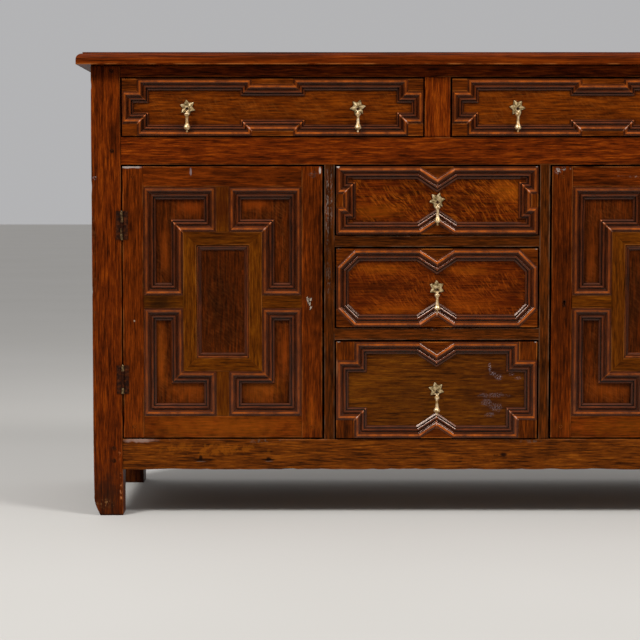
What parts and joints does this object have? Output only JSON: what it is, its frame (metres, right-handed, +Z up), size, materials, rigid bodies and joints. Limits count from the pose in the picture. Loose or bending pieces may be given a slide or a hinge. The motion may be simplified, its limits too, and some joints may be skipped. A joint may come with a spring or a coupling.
{
  "type": "dresser base",
  "caption": "Oak dresser base with mitred geometric mouldings: two wide drawers over a stack of drawers between two panelled cupboard doors, with cast drop pulls.",
  "frame": {"origin": "on the floor, under the middle of the top boards", "axes": "+X to the right along the width, +Y from the front to the back, +Z up"},
  "size_m": [1.39, 0.508, 0.9],
  "materials": {
    "case_oak": "waxed, red-brown, worn",
    "top_oak": "waxed and polished",
    "door_oak": "waxed, red-brown, worn",
    "panel_oak": "waxed, dark",
    "drawer_oak": "waxed front, bare inside",
    "moulding_oak": "waxed, worn bright on the beads",
    "peg_oak": "dark end grain",
    "back_oak": "bare, aged",
    "inside_oak": "bare, aged",
    "aged_brass": "cast, pale aged",
    "aged_iron": "dark, rubbed"
  },
  "bodies": {
    "root": {"top_board": "top_oak", "front_left_post": "case_oak", "front_right_post": "case_oak", "rear_left_post": "back_oak", "rear_right_post": "back_oak", "front_top_rail": "case_oak", "front_middle_rail": "case_oak", "front_bottom_rail": "case_oak", "drawer_muntin": "case_oak", "inner_stiles": "case_oak", "drawer_blades": "case_oak", "left_side_rails": "case_oak", "right_side_rails": "case_oak", "left_side_panels": "panel_oak", "right_side_panels": "panel_oak", "rear_rails": "back_oak", "back_boards": "back_oak", "floor_boards": "inside_oak", "partitions": "inside_oak", "shelves": "inside_oak", "door_stops": "inside_oak", "drawer_runners": "inside_oak", "frame_pegs": "peg_oak", "fixed_hinge_leaves": "aged_iron"},
    "left_door": {"left_door_frame": "door_oak", "left_door_panel": "panel_oak", "left_door_inner_frame": "door_oak", "left_door_mouldings": "moulding_oak", "left_door_hinge_leaves": "aged_iron", "left_door_lock": "aged_iron"},
    "left_bolt": {"left_lock_bolt": "aged_brass"},
    "right_door": {"right_door_frame": "door_oak", "right_door_panel": "panel_oak", "right_door_inner_frame": "door_oak", "right_door_mouldings": "moulding_oak", "right_door_hinge_leaves": "aged_iron", "right_door_lock": "aged_iron"},
    "right_bolt": {"right_lock_bolt": "aged_brass"},
    "left_top_drawer_body": {"left_top_drawer": "drawer_oak", "left_top_mouldings": "moulding_oak", "left_top_pull_plates": "aged_brass"},
    "left_outer_drop_body": {"left_outer_drop": "aged_brass"},
    "left_inner_drop_body": {"left_inner_drop": "aged_brass"},
    "right_top_drawer_body": {"right_top_drawer": "drawer_oak", "right_top_mouldings": "moulding_oak", "right_top_pull_plates": "aged_brass"},
    "right_inner_drop_body": {"right_inner_drop": "aged_brass"},
    "right_outer_drop_body": {"right_outer_drop": "aged_brass"},
    "upper_drawer_body": {"upper_drawer": "drawer_oak", "upper_mouldings": "moulding_oak", "upper_pull_plate": "aged_brass"},
    "upper_drop_body": {"upper_drop": "aged_brass"},
    "second_drawer_body": {"second_drawer": "drawer_oak", "second_mouldings": "moulding_oak", "second_pull_plate": "aged_brass"},
    "second_drop_body": {"second_drop": "aged_brass"},
    "lowest_drawer_body": {"lowest_drawer": "drawer_oak", "lowest_mouldings": "moulding_oak", "lowest_pull_plate": "aged_brass"},
    "lowest_drop_body": {"lowest_drop": "aged_brass"}
  },
  "joints": [
    {"name": "left_door_hinge", "type": "hinge", "parent": "root", "child": "left_door", "pos_m": [-0.611, -0.2316, 0.4175], "axis": [0, 0, -1], "range_deg": [0, 160]},
    {"name": "left_bolt_slide", "type": "slide", "parent": "left_door", "child": "left_bolt", "axis": [1, 0, 0], "range_m": [0, 0.009]},
    {"name": "right_door_hinge", "type": "hinge", "parent": "root", "child": "right_door", "pos_m": [0.611, -0.2316, 0.4175], "axis": [0, 0, 1], "range_deg": [0, 160]},
    {"name": "right_bolt_slide", "type": "slide", "parent": "right_door", "child": "right_bolt", "axis": [-1, 0, 0], "range_m": [0, 0.009]},
    {"name": "left_top_drawer_slide", "type": "slide", "parent": "root", "child": "left_top_drawer_body", "axis": [0, -1, 0], "range_m": [0, 0.33]},
    {"name": "left_outer_drop_swing", "type": "hinge", "parent": "left_top_drawer_body", "child": "left_outer_drop_body", "pos_m": [-0.483, -0.243, 0.7924], "axis": [-1, 0, 0], "range_deg": [0, 85]},
    {"name": "left_inner_drop_swing", "type": "hinge", "parent": "left_top_drawer_body", "child": "left_inner_drop_body", "pos_m": [-0.154, -0.243, 0.7924], "axis": [-1, 0, 0], "range_deg": [0, 85]},
    {"name": "right_top_drawer_slide", "type": "slide", "parent": "root", "child": "right_top_drawer_body", "axis": [0, -1, 0], "range_m": [0, 0.33]},
    {"name": "right_inner_drop_swing", "type": "hinge", "parent": "right_top_drawer_body", "child": "right_inner_drop_body", "pos_m": [0.154, -0.243, 0.7924], "axis": [-1, 0, 0], "range_deg": [0, 85]},
    {"name": "right_outer_drop_swing", "type": "hinge", "parent": "right_top_drawer_body", "child": "right_outer_drop_body", "pos_m": [0.483, -0.243, 0.7924], "axis": [-1, 0, 0], "range_deg": [0, 85]},
    {"name": "upper_drawer_slide", "type": "slide", "parent": "root", "child": "upper_drawer_body", "axis": [0, -1, 0], "range_m": [0, 0.33]},
    {"name": "upper_drop_swing", "type": "hinge", "parent": "upper_drawer_body", "child": "upper_drop_body", "pos_m": [0, -0.243, 0.61315], "axis": [-1, 0, 0], "range_deg": [0, 85]},
    {"name": "second_drawer_slide", "type": "slide", "parent": "root", "child": "second_drawer_body", "axis": [0, -1, 0], "range_m": [0, 0.33]},
    {"name": "second_drop_swing", "type": "hinge", "parent": "second_drawer_body", "child": "second_drop_body", "pos_m": [0, -0.243, 0.44365], "axis": [-1, 0, 0], "range_deg": [0, 85]},
    {"name": "lowest_drawer_slide", "type": "slide", "parent": "root", "child": "lowest_drawer_body", "axis": [0, -1, 0], "range_m": [0, 0.33]},
    {"name": "lowest_drop_swing", "type": "hinge", "parent": "lowest_drawer_body", "child": "lowest_drop_body", "pos_m": [0, -0.243, 0.24465], "axis": [-1, 0, 0], "range_deg": [0, 85]}
  ]
}
